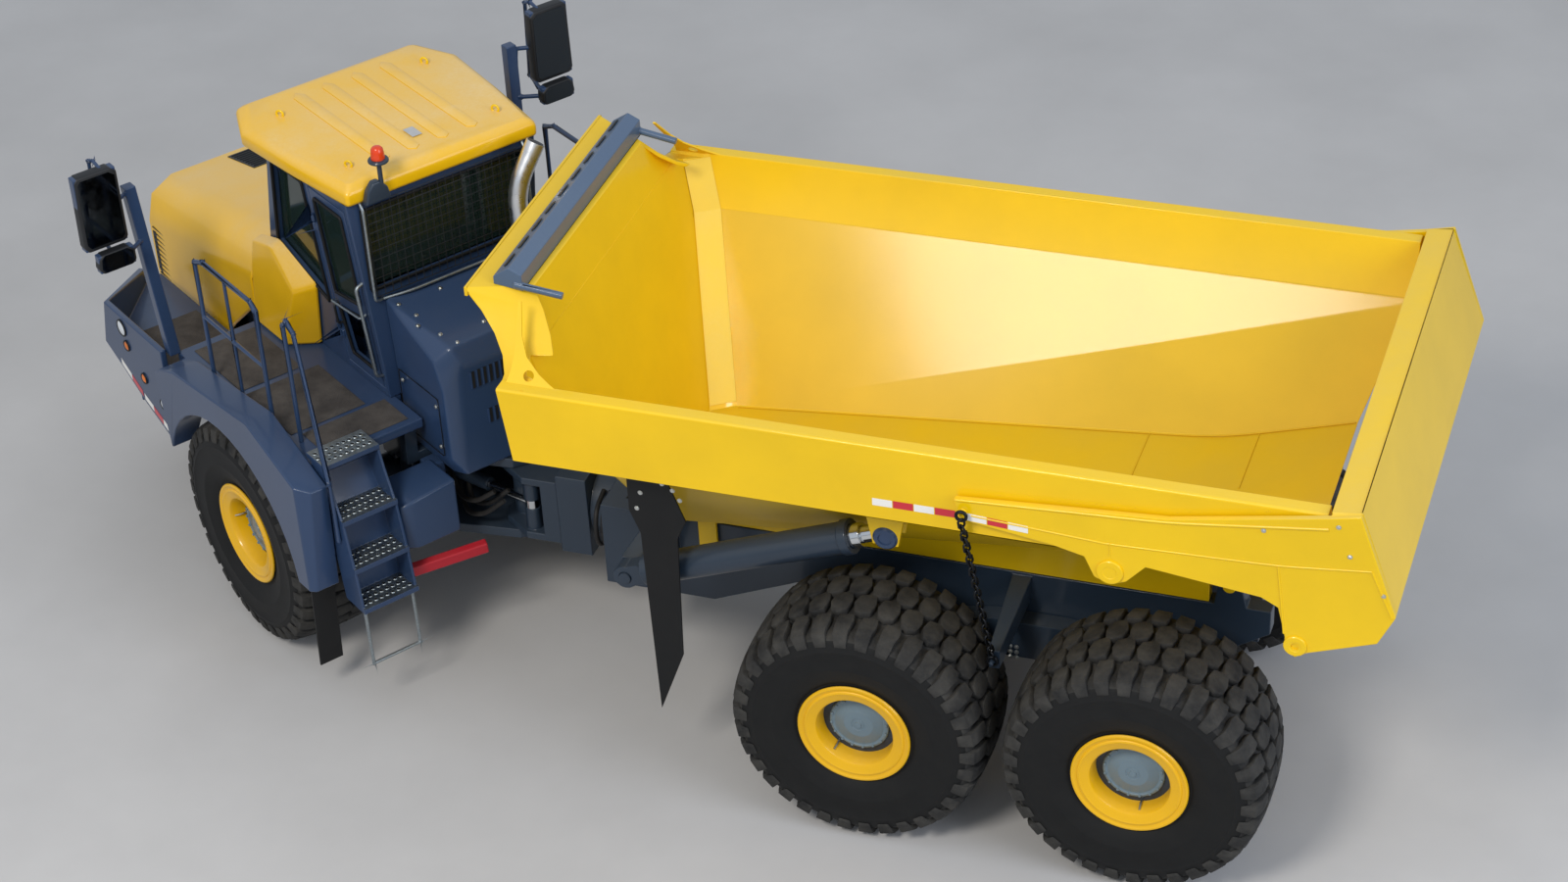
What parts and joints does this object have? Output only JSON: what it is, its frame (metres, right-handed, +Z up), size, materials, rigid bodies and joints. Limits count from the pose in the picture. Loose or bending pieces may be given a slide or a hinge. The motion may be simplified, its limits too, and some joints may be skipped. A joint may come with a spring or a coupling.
{
  "type": "articulated dump truck",
  "caption": "Off-road dump truck hinged behind its cab, with a tipping bed, swinging tailgate, hoists and big lugged tyres.",
  "frame": {"origin": "on the ground under the middle of the bounding box", "axes": "+X forward along the rear unit, +Y to its left, +Z up; the tractor stands turned to the right on its pin"},
  "size_m": [10.9172, 5.2078, 4.125],
  "materials": {
    "yellow_paint": "gloss",
    "blue_grey_paint": "satin",
    "dark_cast_iron": "matte",
    "zinc_plate": "satin",
    "tinted_glass": "gloss",
    "seat_cloth": "matte",
    "polished_steel": "polished",
    "rod_chrome": "polished",
    "amber_lens": "gloss",
    "black_rubber": "matte",
    "dark_steel": "satin",
    "tyre_rubber": "matte"
  },
  "bodies": {
    "rear_unit": {"rear_frame": "blue_grey_paint", "bogie_beam_left": "blue_grey_paint", "bogie_beam_right": "blue_grey_paint", "middle_axle": "blue_grey_paint", "rear_axle": "blue_grey_paint"},
    "hitch": {"hitch": "blue_grey_paint"},
    "tractor": {"front_frame": "blue_grey_paint", "front_axle": "blue_grey_paint", "engine_block": "dark_cast_iron", "front_bumper": "blue_grey_paint", "fender_left": "blue_grey_paint", "fender_right": "blue_grey_paint", "boarding_steps": "zinc_plate", "fuel_tank": "blue_grey_paint", "cab_shell": "blue_grey_paint", "cab_glazing": "tinted_glass", "cab_roof": "yellow_paint", "driver_station": "seat_cloth", "rear_housing": "blue_grey_paint", "exhaust_stack": "polished_steel", "side_cover_left": "yellow_paint", "side_cover_right": "yellow_paint", "mirror_left": "blue_grey_paint", "mirror_right": "blue_grey_paint", "handrail_left": "blue_grey_paint", "handrail_right": "blue_grey_paint", "ladder_rail": "blue_grey_paint", "beacon": "amber_lens"},
    "bed": {"bed": "yellow_paint", "spill_guard": "blue_grey_paint", "bed_flap_left": "black_rubber", "bed_flap_right": "black_rubber"},
    "tailgate": {"tailgate": "yellow_paint"},
    "gate_chain_left": {"gate_chain_left": "dark_steel"},
    "hoist_barrel_left": {"hoist_barrel_left": "blue_grey_paint"},
    "hoist_stage_left": {"hoist_stage_left": "rod_chrome"},
    "hoist_rod_left": {"hoist_rod_left": "rod_chrome"},
    "steer_barrel_left": {"steer_barrel_left": "blue_grey_paint"},
    "steer_rod_left": {"steer_rod_left": "rod_chrome"},
    "front_wheel_left": {"tyre_front_left": "tyre_rubber", "rim_front_left": "yellow_paint"},
    "middle_wheel_left": {"tyre_middle_left": "tyre_rubber", "rim_middle_left": "yellow_paint"},
    "rear_wheel_left": {"tyre_rear_left": "tyre_rubber", "rim_rear_left": "yellow_paint"},
    "gate_chain_right": {"gate_chain_right": "dark_steel"},
    "hoist_barrel_right": {"hoist_barrel_right": "blue_grey_paint"},
    "hoist_stage_right": {"hoist_stage_right": "rod_chrome"},
    "hoist_rod_right": {"hoist_rod_right": "rod_chrome"},
    "steer_barrel_right": {"steer_barrel_right": "blue_grey_paint"},
    "steer_rod_right": {"steer_rod_right": "rod_chrome"},
    "front_wheel_right": {"tyre_front_right": "tyre_rubber", "rim_front_right": "yellow_paint"},
    "middle_wheel_right": {"tyre_middle_right": "tyre_rubber", "rim_middle_right": "yellow_paint"},
    "rear_wheel_right": {"tyre_rear_right": "tyre_rubber", "rim_rear_right": "yellow_paint"},
    "cab_door": {"cab_door": "blue_grey_paint", "door_glass": "tinted_glass"},
    "hood": {"engine_hood": "yellow_paint"}
  },
  "joints": [
    {"name": "hitch_roll", "type": "hinge", "parent": "rear_unit", "child": "hitch", "pos_m": [0.58538, 0.73615, 1.29], "axis": [1, 0, 0], "range_deg": [-15, 15]},
    {"name": "articulation", "type": "hinge", "parent": "hitch", "child": "tractor", "pos_m": [1.28538, 0.73615, 1.29], "axis": [0, 0, 1], "range_deg": [-10.44, 79.56]},
    {"name": "bed_tip", "type": "hinge", "parent": "rear_unit", "child": "bed", "pos_m": [-4.17462, 0.73615, 1.8], "axis": [0, -1, 0], "range_deg": [0, 70]},
    {"name": "tailgate_swing", "type": "hinge", "parent": "bed", "child": "tailgate", "pos_m": [-3.64562, 0.73615, 2.714], "axis": [0, 1, 0], "range_deg": [0, 91.79]},
    {"name": "gate_chain_swing_left", "type": "hinge", "parent": "rear_unit", "child": "gate_chain_left", "pos_m": [-2.72462, 2.06615, 1.45], "axis": [0, -1, 0], "range_deg": [0, 48.21]},
    {"name": "gate_chain_swing_right", "type": "hinge", "parent": "rear_unit", "child": "gate_chain_right", "pos_m": [-2.72462, -0.59385, 1.45], "axis": [0, -1, 0], "range_deg": [0, 48.21]},
    {"name": "hoist_swing_left", "type": "hinge", "parent": "rear_unit", "child": "hoist_barrel_left", "pos_m": [-0.06462, 1.99415, 1.629], "axis": [0, -1, 0], "range_deg": [-10.98, 0]},
    {"name": "hoist_stage_slide_left", "type": "slide", "parent": "hoist_barrel_left", "child": "hoist_stage_left", "axis": [-0.9353, 0, 0.3538], "range_m": [0, 1.2537]},
    {"name": "hoist_rod_slide_left", "type": "slide", "parent": "hoist_stage_left", "child": "hoist_rod_left", "axis": [-0.9353, 0, 0.3538], "range_m": [0, 1.2537]},
    {"name": "hoist_swing_right", "type": "hinge", "parent": "rear_unit", "child": "hoist_barrel_right", "pos_m": [-0.06462, -0.52185, 1.629], "axis": [0, -1, 0], "range_deg": [-10.98, 0]},
    {"name": "hoist_stage_slide_right", "type": "slide", "parent": "hoist_barrel_right", "child": "hoist_stage_right", "axis": [-0.9353, 0, 0.3538], "range_m": [0, 1.2537]},
    {"name": "hoist_rod_slide_right", "type": "slide", "parent": "hoist_stage_right", "child": "hoist_rod_right", "axis": [-0.9353, 0, 0.3538], "range_m": [0, 1.2537]},
    {"name": "steer_swing_left", "type": "hinge", "parent": "tractor", "child": "steer_barrel_left", "pos_m": [2.15976, 0.59528, 1.29], "axis": [0, 0, 1], "range_deg": [-6.33, 0.84]},
    {"name": "steer_rod_slide_left", "type": "slide", "parent": "steer_barrel_left", "child": "steer_rod_left", "axis": [-0.9488, 0.3157, 0], "range_m": [-0.3041, 0.0403]},
    {"name": "steer_swing_right", "type": "hinge", "parent": "tractor", "child": "steer_barrel_right", "pos_m": [1.72864, -0.03061, 1.29], "axis": [0, 0, 1], "range_deg": [-9.09, 1.2]},
    {"name": "steer_rod_slide_right", "type": "slide", "parent": "steer_barrel_right", "child": "steer_rod_right", "axis": [-0.7231, 0.6908, 0], "range_m": [-0.0375, 0.2828]},
    {"name": "front_wheel_left_spin", "type": "hinge", "parent": "tractor", "child": "front_wheel_left", "pos_m": [3.10198, 1.08525, 0.91918], "axis": [0.5673, 0.8235, 0], "continuous": true},
    {"name": "middle_wheel_left_spin", "type": "hinge", "parent": "rear_unit", "child": "middle_wheel_left", "pos_m": [-1.83862, 2.05415, 0.91918], "axis": [0, 1, 0], "continuous": true},
    {"name": "rear_wheel_left_spin", "type": "hinge", "parent": "rear_unit", "child": "rear_wheel_left", "pos_m": [-3.77162, 2.05415, 0.91918], "axis": [0, 1, 0], "continuous": true},
    {"name": "front_wheel_right_spin", "type": "hinge", "parent": "tractor", "child": "front_wheel_right", "pos_m": [1.60666, -1.08558, 0.91918], "axis": [0.5673, 0.8235, 0], "continuous": true},
    {"name": "middle_wheel_right_spin", "type": "hinge", "parent": "rear_unit", "child": "middle_wheel_right", "pos_m": [-1.83862, -0.58185, 0.91918], "axis": [0, 1, 0], "continuous": true},
    {"name": "rear_wheel_right_spin", "type": "hinge", "parent": "rear_unit", "child": "rear_wheel_right", "pos_m": [-3.77162, -0.58185, 0.91918], "axis": [0, 1, 0], "continuous": true},
    {"name": "cab_door_swing", "type": "hinge", "parent": "tractor", "child": "cab_door", "pos_m": [2.72056, 0.5985, 2.3], "axis": [-0.0467, -0.0678, -0.9966], "range_deg": [0, 85]},
    {"name": "hood_tilt", "type": "hinge", "parent": "tractor", "child": "hood", "pos_m": [4.78539, -1.67474, 1.19], "axis": [0.5673, 0.8235, 0], "range_deg": [0, 60]}
  ],
  "couplings": [
    {"joint": "tailgate_swing", "follows": "bed_tip", "ratio": 1.3106},
    {"joint": "gate_chain_swing_left", "follows": "bed_tip", "ratio": 0.68799},
    {"joint": "gate_chain_swing_right", "follows": "bed_tip", "ratio": 0.68799},
    {"joint": "hoist_swing_left", "follows": "bed_tip", "ratio": -0.15666},
    {"joint": "hoist_stage_slide_left", "follows": "bed_tip", "m_per_rad": 1.0254},
    {"joint": "hoist_rod_slide_left", "follows": "bed_tip", "m_per_rad": 1.0254},
    {"joint": "hoist_swing_right", "follows": "bed_tip", "ratio": -0.15666},
    {"joint": "hoist_stage_slide_right", "follows": "bed_tip", "m_per_rad": 1.0254},
    {"joint": "hoist_rod_slide_right", "follows": "bed_tip", "m_per_rad": 1.0254},
    {"joint": "steer_swing_left", "follows": "articulation", "ratio": -0.079475},
    {"joint": "steer_rod_slide_left", "follows": "articulation", "m_per_rad": -0.21862},
    {"joint": "steer_swing_right", "follows": "articulation", "ratio": -0.11414},
    {"joint": "steer_rod_slide_right", "follows": "articulation", "m_per_rad": 0.20327}
  ]
}
